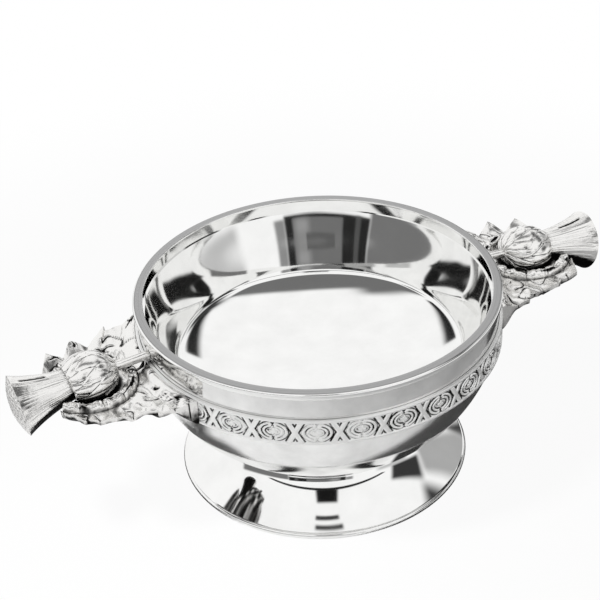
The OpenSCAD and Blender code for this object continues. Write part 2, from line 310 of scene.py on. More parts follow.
def cast_pewter(name, bright, deep, dull):
    """Cast pewter, blackened and then rubbed bright: white high places, and black left in the recesses. The
    same black also paints shade on undersides and shaded sides.
    """
    material, tree, output = new_material(name)
    place = add_node(tree, "ShaderNodeTexCoord")
    # Black left in the hollows, and painted shade on undersides and shaded sides
    patina_and_painted_shade = add_node(tree, "ShaderNodeAttribute", {"attribute_name": "patina_and_painted_shade"})
    grain = add_node(tree, "ShaderNodeTexNoise", None,
                     {"Vector": place.outputs["Object"], "Scale": per_metre(1.2), "Detail": 4})
    patchy = add_node(tree, "ShaderNodeMath", {"operation": "MULTIPLY_ADD"},
                      {0: grain.outputs["Fac"], 1: 0.5, 2: patina_and_painted_shade.outputs["Fac"]})
    black = add_node(tree, "ShaderNodeMapRange", {"interpolation_type": "SMOOTHSTEP"},
                     {"Value": patchy.outputs[0], "From Min": 0.45, "From Max": 1.05})
    tone = add_node(tree, "ShaderNodeMix", {"data_type": "RGBA"},
                    {"Factor": black.outputs["Result"], "A": colour(bright), "B": colour(deep)})
    rough = add_node(tree, "ShaderNodeMapRange", None,
                     {"Value": black.outputs["Result"], "To Min": dull, "To Max": 0.6})
    bump = add_node(tree, "ShaderNodeBump", None,
                    {"Height": grain.outputs["Fac"], "Strength": 0.25, "Distance": 0.0002})
    shader = add_node(tree, "ShaderNodeBsdfPrincipled", None,
                      {"Base Color": tone.outputs["Result"], "Metallic": 1.0,
                       "Roughness": rough.outputs["Result"], "Normal": bump.outputs["Normal"]})
    tree.links.new(shader.outputs[0], output.inputs["Surface"])
    return material


POLISHED = polished_pewter("polished_spun_pewter", "F1F1F0", 0.06)
# The outside is held and wiped, which leaves a light haze on it
HANDLED = polished_pewter("polished_spun_pewter_with_haze", "DEDEDD", 0.14)
SATIN = satin_pewter()
CAST = cast_pewter("cast_pewter_rubbed_bright", "F2F1EF", "141312", 0.2)
STAMPED = cast_pewter("rolled_pewter_with_darkened_ground", "F6F6F5", "1C1B1A", 0.4)


# The bowl: body, liner, rim and foot

SEGMENTS = 288
STEP = 1.2
LIP_STEP = 0.4
LIP_ROUND = 0.25


def body_line():
    """Outer line of the body, from the top of its wall to the middle of its underside."""
    wall = np.array([[WALL_R, WALL_TOP], [WALL_R, BAND_LOW]])
    keel_from = wall[1] + KEEL_PULL
    belly = curve(wall[1], wall[1] + BELLY_PULL, keel_from, KEEL, 48)
    rise = (KEEL[1] - BASE_Z) / (keel_from[1] - BASE_Z)
    base_from = mixed(np.array(KEEL), 2 * np.array(KEEL) - keel_from, rise)
    base = curve(KEEL, base_from, (BASE_PULL_R, BASE_Z), (0, BASE_Z), 24)
    return np.concatenate([spaced(wall, STEP), belly[1:], base[1:]])


def floor_at(radius):
    """Points of the dished floor at some radii."""
    return np.stack([radius, FLOOR_Z - FLOOR_DISH * (1 - (radius / FLOOR_R) ** FLOOR_FLAT)], -1)


def liner_line():
    """Inner line of the liner, from its top to the middle of its floor."""
    top = np.array([LINER_IN, FACE_Z])
    bend = np.array([FLOOR_R, FLOOR_Z])
    start = bend + CORNER * (top - bend) / np.linalg.norm(top - bend)
    end_r = FLOOR_R - CORNER
    run = start - top
    away = np.array([-run[1], run[0]]) / np.linalg.norm(run)
    wall = curve(top, top + run / 3 + WALL_BOW * away, top + run * 2 / 3 - WALL_SWELL * away, start, 24)
    corner = curve(start, bend, bend, floor_at(np.array(end_r)), 14)
    floor = floor_at(np.linspace(end_r, 0, 44))
    return np.concatenate([wall, corner[1:], floor[1:]])


def make_body():
    outer = body_line()
    inner = shifted(outer, -SHEET)
    inner[-1][0] = 0
    add_piece("outer_bowl", turned(np.concatenate([inner[::-1], outer]), SEGMENTS),
              [HANDLED], "body")


def make_liner():
    inner = liner_line()
    outer = shifted(inner, SHEET)
    outer[-1][0] = 0
    flange = np.array([[LEG_OUT, FACE_Z - SHEET], [LEG_OUT, FACE_Z]])
    line = np.concatenate([outer[:0:-1], flange, inner])
    add_piece("drinking_bowl", turned(line, SEGMENTS), [POLISHED], "liner")


def make_rim():
    low = (RIM_R - BEAD_ROUND, WALL_TOP + BEAD_ROUND)
    high = (RIM_R - BEAD_ROUND, BOWL_H - BEAD_ROUND)
    lip = spaced(np.array([[RIM_R - BEAD_ROUND, BOWL_H], [LIP_IN + LIP_ROUND, BOWL_H]]), LIP_STEP)
    face = spaced(np.array([[LIP_IN, BOWL_H - LIP_ROUND], [LIP_IN, FACE_Z]]), LIP_STEP)
    profile = np.concatenate([
        np.array([[LEG_OUT, FACE_Z], [LEG_OUT, WALL_TOP]]),
        arc(low, BEAD_ROUND, -90, 0, 8),
        arc(high, BEAD_ROUND, 0, 90, 8),
        lip[1:],
        arc((LIP_IN + LIP_ROUND, BOWL_H - LIP_ROUND), LIP_ROUND, 90, 180, 5)[1:-1],
        face,
    ])
    rim = add_piece("lip_ring", turned(profile, SEGMENTS), [POLISHED, SATIN], "rim_ring")
    # Only the level face is satin
    for polygon in rim.data.polygons:
        polygon.material_index = 1 if polygon.normal.z > 0.9 else 0


def make_foot():
    edge_r = FOOT_EDGE / 2
    edge_mid = FOOT_R - edge_r
    neck = np.array([NECK_R, BASE_Z + NECK_UP])
    edge_top = np.array([edge_mid, FOOT_EDGE])
    trumpet = curve(neck, neck + NECK_PULL, edge_top + EDGE_PULL, edge_top, 60)
    # Only what stands clear of the belly is kept
    outside = shifted(body_line(), SOLDER)
    belly_r = np.interp(trumpet[:, 1], outside[::-1, 1], outside[::-1, 0])
    trumpet = trumpet[trumpet[:, 0] > belly_r]
    rest_in = edge_mid - FOOT_REST
    under = shifted(trumpet, -SHEET)
    under = under[under[:, 0] < rest_in]
    inner_top = np.array([[under[0][0], trumpet[0][1] - NECK_EDGE]])
    profile = np.concatenate([
        trumpet,
        arc((edge_mid, edge_r), edge_r, 90, -90, 14)[1:],
        np.array([[rest_in, 0]]),
        under[::-1],
        inner_top,
    ])
    add_piece("spreading_foot", turned(profile[::-1], SEGMENTS), [POLISHED], "foot")


# The band: ovals of facing loops with a rosette, and a raised cross between two ovals

REPEATS = 28
BAND_IN = WALL_R + SOLDER
BORDER = 0.9
SUNK = 0.42
BAND_STEPS = 48
BAND_ROWS = 57
# Half width and half height of each oval, and the widths of its line and of its gaps
OUTER_OVAL, OUTER_LINE, OUTER_GAP = (4.0, 2.85), 0.8, 0.45
INNER_OVAL, INNER_LINE, INNER_GAP = (2.75, 1.9), 0.7, 0.35
ROSETTE_W = 2.7
KNOT_W = 1.1
KNOT = (0.75, 2.45)
CROSS_LINE = 1.6
CROSS_LEAN = 1.75 / 3.3
# Angles at the camera's right between which the band gets painted shade, as more black, in degrees
PAINTED_SHADE_FROM, PAINTED_SHADE_TO, PAINTED_SHADE_FADE = 250, 345, 30


def ridge(distance, width):
    """A raised line with rounded sides: 1 on its middle, 0 from its edge on."""
    return np.sqrt(np.clip(1 - (distance / (width / 2)) ** 2, 0, 1))


def loops(x, y, half_w, half_h, width, gap):
    """An oval line that is open at its top and bottom."""
    scale = np.sqrt((x / half_w) ** 2 + (y / half_h) ** 2) + 1e-6
    distance = np.abs(scale - 1) * np.sqrt(x ** 2 + y ** 2) / scale
    return ridge(distance, width) * eased((np.abs(x) - gap) / 0.3)


def oval_relief(x, y, widen=0.0):
    """Height of an oval with its rosette and knots, from 0 on the ground to 1, at x and y from its middle."""
    outer = loops(x, y, *OUTER_OVAL, OUTER_LINE + widen, OUTER_GAP)
    inner = loops(x, y, *INNER_OVAL, INNER_LINE + widen, INNER_GAP)
    radius = np.hypot(x, y)
    petals = 0.75 + 0.25 * np.cos(4 * np.arctan2(y, x) + 0.8)
    rosette = ridge(radius / petals, ROSETTE_W + widen) * (0.55 + 0.45 * eased((radius - 0.25) / 0.35))
    knots = ridge(np.hypot(np.abs(x) - KNOT[0], np.abs(y) - KNOT[1]), KNOT_W + widen)
    return np.max([outer, inner, rosette, knots], axis=0)


def cross_relief(x, y, pitch, widen=0.0):
    """Height of the crosses halfway between two ovals, from 0 on the ground to 1."""
    to_cross = pitch / 2 - np.abs(x)
    arm = np.abs(to_cross - np.abs(y) * CROSS_LEAN) / math.hypot(1, CROSS_LEAN)
    return ridge(arm, CROSS_LINE + widen)


def make_band():
    around = REPEATS * BAND_STEPS
    half = (BAND_TOP - BAND_LOW) / 2
    angles = np.arange(around) * TURN / around
    pitch = TURN * BAND_R / REPEATS
    x = (angles * BAND_R + pitch / 2) % pitch - pitch / 2
    y = np.linspace(-half, half, BAND_ROWS)
    wide, high = np.meshgrid(x, y)
    relief = np.maximum(oval_relief(wide, high), cross_relief(wide, high, pitch))
    border = eased((np.abs(high) - (half - BORDER - 0.1)) / 0.25)
    relief = np.maximum(relief * eased((half - BORDER + 0.2 - np.abs(high)) / 0.3), border)
    relief += 0.06 * rippled(angles[None] * BAND_R, high, 5, 8, 0.05, 0.6)
    radius = BAND_R - SUNK * (1 - np.clip(relief, 0, 1))
    radius[0] = radius[-1] = BAND_R - 0.2
    radius = np.concatenate([radius, np.full((2, around), BAND_IN)])
    height = np.concatenate([y, [half, -half]]) + (BAND_TOP + BAND_LOW) / 2
    level = np.repeat(height[:, None], around, 1)
    rows = np.stack([radius * np.cos(angles), radius * np.sin(angles), level], -1)
    degrees = np.degrees(angles)
    # Painted shade: the ground and the lines round the ovals are darker on the camera's right
    painted_shade_side = eased((degrees - PAINTED_SHADE_FROM) / PAINTED_SHADE_FADE) * eased((PAINTED_SHADE_TO - degrees) / PAINTED_SHADE_FADE)
    patches = eased((rippled(angles[None] * BAND_R, high, 6, 9, 0.05, 0.25) + 0.2) / 0.8)
    round_ovals = np.clip(oval_relief(wide, high, 0.9) - relief, 0, 1)
    round_ovals = round_ovals * (0.4 + 0.6 * np.maximum(patches, painted_shade_side))
    round_crosses = np.clip(cross_relief(wide, high, pitch, 1.1) - relief, 0, 1)
    dark = (0.15 + 0.1 * painted_shade_side + np.maximum(round_ovals, round_crosses)) * (1 - np.clip(relief * 1.4, 0, 1))
    dark = np.concatenate([dark, np.zeros((2, around))])
    add_piece("ornament_band", skin(rows, ring=True), [STAMPED], "band",
              sharp=60, patina_and_painted_shade=dark.ravel())


# The thistle: a ball of pointed scales, a plume of fine hairs and a short stem

SCALES_ROUND = 10
SCALE_ROWS = 4
# Length of a scale, in rows
SCALE_LENGTH = 2.3
THISTLE_STEPS = 232
STEM_STEPS = 40
# Part of the way from the ball's middle to the wall where the stem starts
STEM_START = 0.38


def scale_cover(along, round_angle, seed):
    """Height of overlapping pointed scales, and the dark lines beside them, by place from stem to plume. The
    lines are black in the gaps and painted shadow of the scale edges above.
    """
    height = np.zeros_like(along)
    line = np.zeros_like(along)
    covered = np.zeros(along.shape, bool)
    random = np.random.RandomState(seed)
    length = SCALE_LENGTH / SCALE_ROWS
    pitch = TURN / SCALES_ROUND
    for row in range(-1, SCALE_ROWS):
        share = (along - row / SCALE_ROWS) / length
        width = 0.62 * pitch * np.sqrt(np.clip(1 - share, 0, 1)) * (0.55 + 0.45 * np.clip(share * 3, 0, 1))
        offset = (row % 2) * 0.5 + random.uniform(-0.1, 0.1)
        for k in range(SCALES_ROUND):
            middle = (k + offset + random.uniform(-0.2, 0.2)) * pitch
            lean = random.uniform(-0.1, 0.6)
            side = (round_angle - middle - lean * share * pitch + math.pi) % TURN - math.pi
            place = np.abs(side) / np.maximum(width, 1e-4)
            mine = (share > 0) & (share < 1) & (place < 1) & ~covered
            height[mine] = (0.25 + 0.75 * share + 0.35 * (1 - place ** 2))[mine]
            covered |= mine
            # Black in the gap and painted shadow, just past the edge of the scale above
            beside = (share > 0) & (share < 1.05) & ~covered
            line[beside] = np.maximum(line, eased((1.2 - place) / 0.1))[beside]
    return height, line


def thistle_profile():
    """Ball, plume and dome, as distances along the axis from the ball's middle, and radii."""
    neck_angle = math.acos(-PLUME_START / BALL_R)
    ball = np.linspace(math.radians(4), neck_angle, 110)
    ball = BALL_R * np.stack([-np.cos(ball), np.sin(ball)], 1)
    end = PLUME_START + PLUME_L
    plume = curve((PLUME_START, PLUME_NECK_R), (PLUME_START + PLUME_L / 3, PLUME_NECK_R + 0.9),
                  (end - PLUME_L / 3, PLUME_R - 2.6), (end, PLUME_R), 76)
    dome_r = (PLUME_R ** 2 + PLUME_DOME ** 2) / (2 * PLUME_DOME)
    dome_angle = math.degrees(math.asin(PLUME_R / dome_r))
    dome = arc((end + PLUME_DOME - dome_r, 0), dome_r, dome_angle, 3, 30)
    return ball, plume, dome[1:]


def hairs(angle, along, seed):
    """Fine uneven ridges that run along the plume, between 0 and 1."""
    random = np.random.RandomState(seed)
    total = 0
    for count in (23, 37, 52, 71, 90):
        sway = random.uniform(-0.05, 0.05)
        total = total + np.sin(count * (angle + sway * along) + random.uniform(0, TURN))
    return eased(0.5 + total / 5)


def make_thistle(name, node, turn, seed):
    around = THISTLE_STEPS
    angles = np.arange(around) * TURN / around
    from_top = np.minimum(angles, TURN - angles)[None]
    ball, plume, dome = thistle_profile()
    axis = np.array([math.cos(DROOP), 0, -math.sin(DROOP)])
    up = np.array([math.sin(DROOP), 0, math.cos(DROOP)])
    across = np.array([0, 1, 0])
    outward = np.cos(angles)[:, None] * up + np.sin(angles)[:, None] * across
    centre = np.array([BALL_X, 0, BALL_Z])

    share = np.linspace(0, 1, len(ball))[:, None]
    along = share + 0.012 * np.sin(5 * angles + seed)
    twist = angles[None] + 0.10 * np.sin(7 * along + seed)
    height, line = scale_cover(along, twist, seed)
    ball_push = (0.55 * height - 0.45) * eased((1 - share) / 0.05)
    # Painted shade: the scale lines are darker on the ball's low side and towards the stem, and its lower
    # half is darker
    shaded_low_or_back = np.maximum(eased((from_top - 0.7) / 0.8), eased((0.3 - share) / 0.2))
    ball_dark = line * (0.7 + 0.3 * shaded_low_or_back) + 0.8 * eased((from_top - 1.3) / 0.5) * (1 - height / 1.6)

    share = np.linspace(0, 1, len(plume))[:, None]
    ridges = hairs(angles[None], share, seed + 1)
    slot = eased(1 - from_top * plume[:, 1:] / 0.7)
    slot = slot * eased((share - 0.34) / 0.06) * eased((0.86 - share) / 0.06)
    plume_push = -0.12 * (1 - ridges) * eased((1 - share) / 0.15) - 0.45 * slot
    # Painted shade on the plume's underside
    under = eased((from_top - 1.45 - 0.4 * share) / 0.25)
    plume_dark = 0.26 * (1 - ridges) + 0.35 * eased((0.1 - share) / 0.1) + slot + 0.85 * under

    dots = rippled(dome[:, 1:] * np.cos(angles), dome[:, 1:] * np.sin(angles), seed + 2, 14, 0.5, 1.1)
    dome_push = -0.1 - 0.1 * np.clip(dots, -1, 1)
    dome_dark = 0.22 + 0.25 * dots

    profile = np.concatenate([ball, plume, dome])
    push = np.concatenate([ball_push, plume_push, dome_push])
    dark = np.concatenate([ball_dark, plume_dark, dome_dark])
    slope = np.gradient(profile, axis=0)
    slope /= np.linalg.norm(slope, axis=1)[:, None]
    normal = np.stack([-slope[:, 1], slope[:, 0]], 1)
    place = profile[:, None, :] + push[:, :, None] * normal[:, None, :]
    rows = place[:, :, :1] * axis + place[:, :, 1:] * outward
    rows[:len(ball), :, 2] *= BALL_UP / BALL_R
    poles = np.array([-axis * BALL_R, axis * (dome[-1][0] + 0.03)])
    points, faces = skin(rows, poles=poles)
    dark = np.concatenate([dark.ravel(), [0.5, 0.4]])

    stem_points, stem_faces, stem_dark = stem_shape(centre)
    faces = faces + [[i + len(points) for i in face] for face in stem_faces]
    points = np.concatenate([points + centre, stem_points])
    dark = np.concatenate([dark, stem_dark])
    add_piece(name, (points, faces), [CAST], node, sharp=50, patina_and_painted_shade=dark, turn=turn)


def stem_shape(centre):
    """A round stem from inside the ball to the wall, ribbed lengthwise, cut to the wall's curve."""
    end = np.array([WALL_R + SOLDER, 0, STEM_Z])
    start = mixed(centre, end, STEM_START)
    around = STEM_STEPS
    angles = np.arange(around) * TURN / around
    share = np.linspace(0, 1, 24)[:, None]
    ribs = 0.5 + 0.5 * np.cos(6 * angles + 0.8 * share)
    radius = STEM_R * (1 + 0.1 * eased((share - 0.75) / 0.25)) - 0.2 * (1 - ribs)
    middle = start + share[:, :, None] * (end - start)
    rows = np.zeros((len(share), around, 3))
    rows[:, :, 0] = middle[:, :, 0]
    rows[:, :, 1] = radius * np.sin(angles)
    rows[:, :, 2] = middle[:, :, 2] + radius * np.cos(angles)
    rows[-1, :, 0] = np.sqrt((WALL_R + SOLDER) ** 2 - rows[-1, :, 1] ** 2)
    poles = np.array([start, end])
    points, faces = skin(rows[:, ::-1], poles=poles)
    # Painted shade on the stem's underside
    painted_shade_low_side = 0.5 - 0.5 * np.cos(angles[::-1])
    dark = np.clip(0.25 * (1 - ribs) + 0.9 * painted_shade_low_side ** 2 + 0.5 * eased((0.2 - share) / 0.2), 0, 1)
    return points, faces, np.concatenate([dark.ravel(), [0, 0]])


# The leaf: a seat under the ball, a raised ring in segments, pointed folded lobes and a root on the band

RING_IN = 10.9
RING_OUT = 14.4
RING_DROP = 0.83
RING_SLOPE = 0.8
RING_JOINT = math.radians(30)
GROOVE_DROP = 3.5
LEAF_DROP = 2.2
LEAF_T = 1.5
LEAF_THIN = 0.9
RING_DEPTH = 2.5
LOBE_SINK = 0.9
LOBE_TIP = 20.5
LOBE_GROW = 1.6
LOBE_CUT = 3.0
LOBE_FOLD = 1.5
NOTCH = math.radians(38)
FIRST_LOBE = math.radians(68)
LOBE_ANGLE = math.radians(25)
LAST_LOBE = FIRST_LOBE + 2 * LOBE_ANGLE
ROOT_REACH = math.radians(27)
ROOT_LEN = 5.0
SEAT_R = BALL_R + 0.2
SEAT_UP = BALL_UP + 0.2
SEAT_LOW = SEAT_UP + 1.2
SEAT_EDGE = SEAT_R * math.sqrt(1 - (GROOVE_DROP / SEAT_UP) ** 2)


def polar(radius, angle):
    """A point at a distance from the ball's axis or the bowl's, along an angle."""
    return radius * np.array([math.cos(angle), math.sin(angle)])


NOTCH_CORNER = polar(RING_OUT + 0.8, NOTCH)
FIRST_TIP = polar(LOBE_TIP, FIRST_LOBE)
LAST_TIP = polar(LOBE_TIP + 4 * LOBE_GROW, LAST_LOBE)
ROOT_TIP = polar(ROOT_R, ROOT_REACH) - np.array([BALL_X, 0])
ROOT_ANGLE = math.atan2(ROOT_TIP[1], ROOT_TIP[0])


def to_line(p, q, angle):
    """Distance from the ball's axis to the straight line through two points along an angle."""
    side = q - p
    return (p[0] * side[1] - p[1] * side[0]) / (np.cos(angle) * side[1] - np.sin(angle) * side[0])


def to_bowl(angle):
    """Distance from the ball's axis to the band along an angle."""
    towards = BALL_X * np.cos(angle)
    return -towards - np.sqrt(np.maximum(towards ** 2 - BALL_X ** 2 + ROOT_R ** 2, 0))


def lobe_point(angle):
    """Closeness to a lobe's tip: 1 on the tip, 0 in a valley, a half at the cut side and along the root."""
    place = (angle - FIRST_LOBE) / LOBE_ANGLE
    lobes = 1 - 2 * np.abs(place - np.round(place))
    cut_side = 1 - (FIRST_LOBE - angle) / (FIRST_LOBE - NOTCH) / 2
    return np.select([angle < FIRST_LOBE, angle <= LAST_LOBE], [cut_side, lobes], 0.5)


def leaf_edge(angle):
    """Distance from the ball's axis to the leaf's edge along an angle from the plume."""
    place = (angle - FIRST_LOBE) / LOBE_ANGLE
    lobes = LOBE_TIP + LOBE_GROW * place ** 2 - LOBE_CUT * (1 - lobe_point(angle) ** 1.3)
    return np.select(
        [angle < FIRST_LOBE, angle <= LAST_LOBE, angle <= ROOT_ANGLE],
        [to_line(NOTCH_CORNER, FIRST_TIP, angle), lobes, to_line(LAST_TIP, ROOT_TIP, angle)],
        to_bowl(angle),
    )


def make_leaf(name, node, turn, seed):
    half = np.concatenate([
        np.linspace(NOTCH, FIRST_LOBE, 31)[:-1],
        np.linspace(FIRST_LOBE, LAST_LOBE, 81)[:-1],
        np.linspace(LAST_LOBE, ROOT_ANGLE, 31)[:-1],
        np.linspace(ROOT_ANGLE, math.pi, 41),
    ])
    angle = np.concatenate([half, TURN - half[-2::-1]])
    fold_angle = np.minimum(angle, TURN - angle)
    edge = leaf_edge(fold_angle)[:, None]
    point = lobe_point(fold_angle)[:, None]

    inner = np.concatenate([
        np.linspace(2, SEAT_EDGE, 6),
        np.linspace(SEAT_EDGE, RING_IN, 4)[1:],
        np.linspace(RING_IN, RING_OUT, 18)[1:],
    ])
    outer = np.linspace(0, 1, 26)[1:]
    reach = np.concatenate([np.repeat(inner[None], len(angle), 0), RING_OUT + outer * (edge - RING_OUT)], 1)
    share = np.clip((reach - RING_OUT) / (edge - RING_OUT), 0, 1)
    x = reach * np.cos(angle)[:, None]
    y = reach * np.sin(angle)[:, None]

    joint = (angle - math.pi) / RING_JOINT
    to_joint = np.abs(joint - np.round(joint))[:, None] * RING_JOINT * reach
    cut = eased(1 - to_joint / 0.4)
    lobe_base = -LEAF_DROP - LOBE_SINK
    rise = np.sqrt(eased((reach - RING_IN) / RING_SLOPE))
    fall = np.sqrt(eased((RING_OUT - reach) / RING_SLOPE))
    ring_top = mixed(-GROOVE_DROP, -RING_DROP, rise) - (1 - fall) * (-RING_DROP - lobe_base)
    ring_top = ring_top - 0.5 * cut - 0.3 * (1 + rippled(x, y, seed + 5, 10, 0.15, 0.5))
    crumple = 0.3 * rippled(x, y, seed, 9, 0.05, 0.25)
    lobe_top = lobe_base + share * (LOBE_SINK + LOBE_FOLD * (2 * point - 1)) + crumple * np.sqrt(share)
    seat = -SEAT_UP * np.sqrt(np.maximum(1 - (reach / SEAT_R) ** 2, 0))
    upper = np.where(reach <= SEAT_EDGE, seat, -GROOVE_DROP)
    upper = np.where(reach > RING_IN, ring_top, upper)
    upper = np.where(reach > RING_OUT, lobe_top, upper)
    dish = (np.minimum(reach, RING_OUT) / RING_OUT) ** 2
    lower = mixed(mixed(-SEAT_LOW, lobe_base - RING_DEPTH, dish), upper - LEAF_T, share)
    lower = np.minimum(lower, upper - LEAF_THIN)

    near = eased(1 - (np.hypot(BALL_X + x, y) - ROOT_R) / ROOT_LEN) * (reach > RING_OUT)
    upper = mixed(upper, BAND_TOP - BALL_Z + 0.4 * np.minimum(crumple, 0), near)
    lower = mixed(lower, BAND_LOW - BALL_Z, near)

    winding = rippled(x, y, seed + 7, 7, 0.07, 0.17)
    broken = rippled(x, y, seed + 9, 6, 0.05, 0.12) + eased((fold_angle[:, None] - 1.5) / 0.8) - 0.6
    strokes = eased(1 - np.abs(winding) / 0.3) * eased(broken / 0.3) * eased(share / 0.08)
    upper = upper - 0.4 * strokes

    top = np.stack([x, y, upper], -1)
    bottom = np.stack([x, y, lower], -1)[:, ::-1]
    rows = np.concatenate([top, bottom], 1)
    count, width = rows.shape[:2]
    index = np.arange(count * width).reshape(count, width)
    step = index[:-1, :-1]
    faces = np.stack([step, step + width, step + width + 1, step + 1], -1).reshape(-1, 4).tolist()
    above, below = count * width, count * width + 1
    faces += [[above, b, a] for a, b in zip(index[:-1, 0], index[1:, 0])]
    faces += [[below, a, b] for a, b in zip(index[:-1, -1], index[1:, -1])]
    faces.append([above, *index[0].tolist(), below])
    faces.append([below, *index[-1, ::-1].tolist(), above])
    points = np.concatenate([rows.reshape(-1, 3), [[0, 0, -SEAT_UP], [0, 0, -SEAT_LOW]]])
    points = points + np.array([BALL_X, 0, BALL_Z])

    on_ring = (reach > RING_IN) & (reach < RING_OUT)
    groove = np.where(reach < RING_IN, 0.4 + 0.6 * eased((SEAT_EDGE + 1.4 - reach) / 0.6), 0)
    streaks = rippled(angle[:, None] * 5, reach * 1.2, seed + 12, 10, 0.2, 0.5)
    # Dark streaks on the ring: a painted dark reflection
    dark_ring_streaks = eased((streaks - 0.3) / 0.5) * on_ring
    behind_ring = eased(1 - np.abs(reach - RING_OUT) / 0.6)
    creases = eased((0.14 - point) / 0.14) * share
    flanks = 0.5 * (1 - rise * fall) * on_ring
    hollows_and_streaks = [groove, 0.8 * dark_ring_streaks, 0.65 * behind_ring, 0.6 * cut * on_ring, flanks, 0.6 * creases]
    dark_top = np.max(hollows_and_streaks, axis=0)
    dark_top = np.maximum(dark_top * (1 - 0.7 * near), strokes)
    mottle = 0.5 + 0.5 * rippled(x, y, seed + 14, 8, 0.1, 0.3)
    # Painted shade on the leaf's underside, mottled
    painted_shade_bottom = 0.5 + 0.35 * mottle
    painted_shade_bottom[:, -1] = 0.4 + 0.6 * mottle[:, -1]
    dark = np.concatenate([np.concatenate([dark_top, painted_shade_bottom[:, ::-1]], 1).ravel(), [1, 0.75]])
    add_piece(name, (points, faces), [CAST], node, sharp=40, patina_and_painted_shade=dark, turn=turn)


# Floor, light and camera

CAMERA_AZIMUTH = math.radians(-23.08)
CAMERA_HEIGHT = math.radians(32.92)
CAMERA_ROLL = math.radians(-3.11)
CAMERA_DISTANCE = 513.0
CAMERA_SIDE = -8.09
CAMERA_UP = 48.06
LENS = 93.2
TOWARDS = Vector((math.sin(CAMERA_AZIMUTH), -math.cos(CAMERA_AZIMUTH), 0))
RIGHT = Vector((math.cos(CAMERA_AZIMUTH), math.sin(CAMERA_AZIMUTH), 0))

# The paper: half its width, and the distances where it starts to look white and is all white, in metres
SWEEP_HALF = 3.0
PAPER_NEAR = 0.14
PAPER_FAR = 0.3
# Share of plain white in what the camera sees near the object. The rest is lit paper, with the shadow
PAPER_SHOWN = 0.95
# How bright the tent is for the paper, while it is 1 for the metal
TENT_ON_PAPER = 0.03

# The lamps: round from the camera's side, height and distance, then their watts, sizes and the spot's cone
LAMP_AZIMUTH = math.radians(-60)
LAMP_HEIGHT = math.radians(58)
LAMP_DISTANCE = 700.0
KEY_WATTS = 1.8
KEY_SIZE = 100.0
SPOT_WATTS = 11.0
SPOT_SIZE = 50.0
SPOT_CONE = math.radians(26)
SPOT_AIM = RIGHT * -40 + TOWARDS * 50


def make_camera():
    back = TOWARDS * math.cos(CAMERA_HEIGHT) + Vector((0, 0, math.sin(CAMERA_HEIGHT)))
    up = back.cross(RIGHT)
    side = RIGHT * math.cos(CAMERA_ROLL) + up * math.sin(CAMERA_ROLL)
    top = up * math.cos(CAMERA_ROLL) - RIGHT * math.sin(CAMERA_ROLL)
    place = (side * CAMERA_SIDE + top * CAMERA_UP + back * CAMERA_DISTANCE) / METRE
    data = bpy.data.cameras.new("studio_camera")
    data.lens = LENS
    data.sensor_width = 36
    data.clip_start = 0.01
    camera = bpy.data.objects.new("studio_camera", data)
    turn = Matrix((side, top, back)).transposed().to_4x4()
    camera.matrix_world = Matrix.Translation(place) @ turn
    bpy.context.scene.collection.objects.link(camera)
    bpy.context.scene.camera = camera


def make_floor():
    """A white sweep with only the object's soft shadow on it. Further out it is white in the metal too."""
    material, tree, output = new_material("white_paper_sweep")
    path = add_node(tree, "ShaderNodeLightPath")
    place = add_node(tree, "ShaderNodeNewGeometry")
    distance = add_node(tree, "ShaderNodeVectorMath", {"operation": "LENGTH"}, {0: place.outputs["Position"]})
    far = add_node(tree, "ShaderNodeMapRange", {"interpolation_type": "SMOOTHSTEP"},
                   {"Value": distance.outputs["Value"], "From Min": PAPER_NEAR, "From Max": PAPER_FAR})
    mirrored = add_node(tree, "ShaderNodeMath", {"operation": "MAXIMUM"},
                        {0: path.outputs["Is Glossy Ray"], 1: path.outputs["Is Transmission Ray"]})
    # Only what the metal shows is white, so that no light reaches the paper by way of the metal
    first_hand = add_node(tree, "ShaderNodeMath", {"operation": "LESS_THAN"},
                          {0: path.outputs["Diffuse Depth"], 1: 0.5})
    straight = add_node(tree, "ShaderNodeMath", {"operation": "MULTIPLY"},
                        {0: mirrored.outputs[0], 1: first_hand.outputs[0]})
    mirrored_far = add_node(tree, "ShaderNodeMath", {"operation": "MULTIPLY"},
                            {0: straight.outputs[0], 1: far.outputs["Result"]})
    shown = add_node(tree, "ShaderNodeMapRange", None,
                     {"Value": far.outputs["Result"], "To Min": PAPER_SHOWN, "To Max": 1.0})
    seen = add_node(tree, "ShaderNodeMath", {"operation": "MULTIPLY_ADD"},
                    {0: path.outputs["Is Camera Ray"], 1: shown.outputs["Result"],
                     2: mirrored_far.outputs[0]})
    paper = add_node(tree, "ShaderNodeBsdfDiffuse", None, {"Color": colour("F4F4F4")})
    glow = add_node(tree, "ShaderNodeEmission", None, {"Color": (1, 1, 1, 1), "Strength": 1.0})
    both = add_node(tree, "ShaderNodeMixShader", None,
                    {0: seen.outputs[0], 1: paper.outputs[0], 2: glow.outputs[0]})
    tree.links.new(both.outputs[0], output.inputs["Surface"])
    mesh = bpy.data.meshes.new("sweep")
    corners = [(x * SWEEP_HALF, y * SWEEP_HALF, 0) for x, y in ((-1, -1), (1, -1), (1, 1), (-1, 1))]
    mesh.from_pydata(corners, [], [[0, 1, 2, 3]])
    mesh.materials.append(material)
    floor = bpy.data.objects.new("sweep", mesh)
    bpy.context.scene.collection.objects.link(floor)


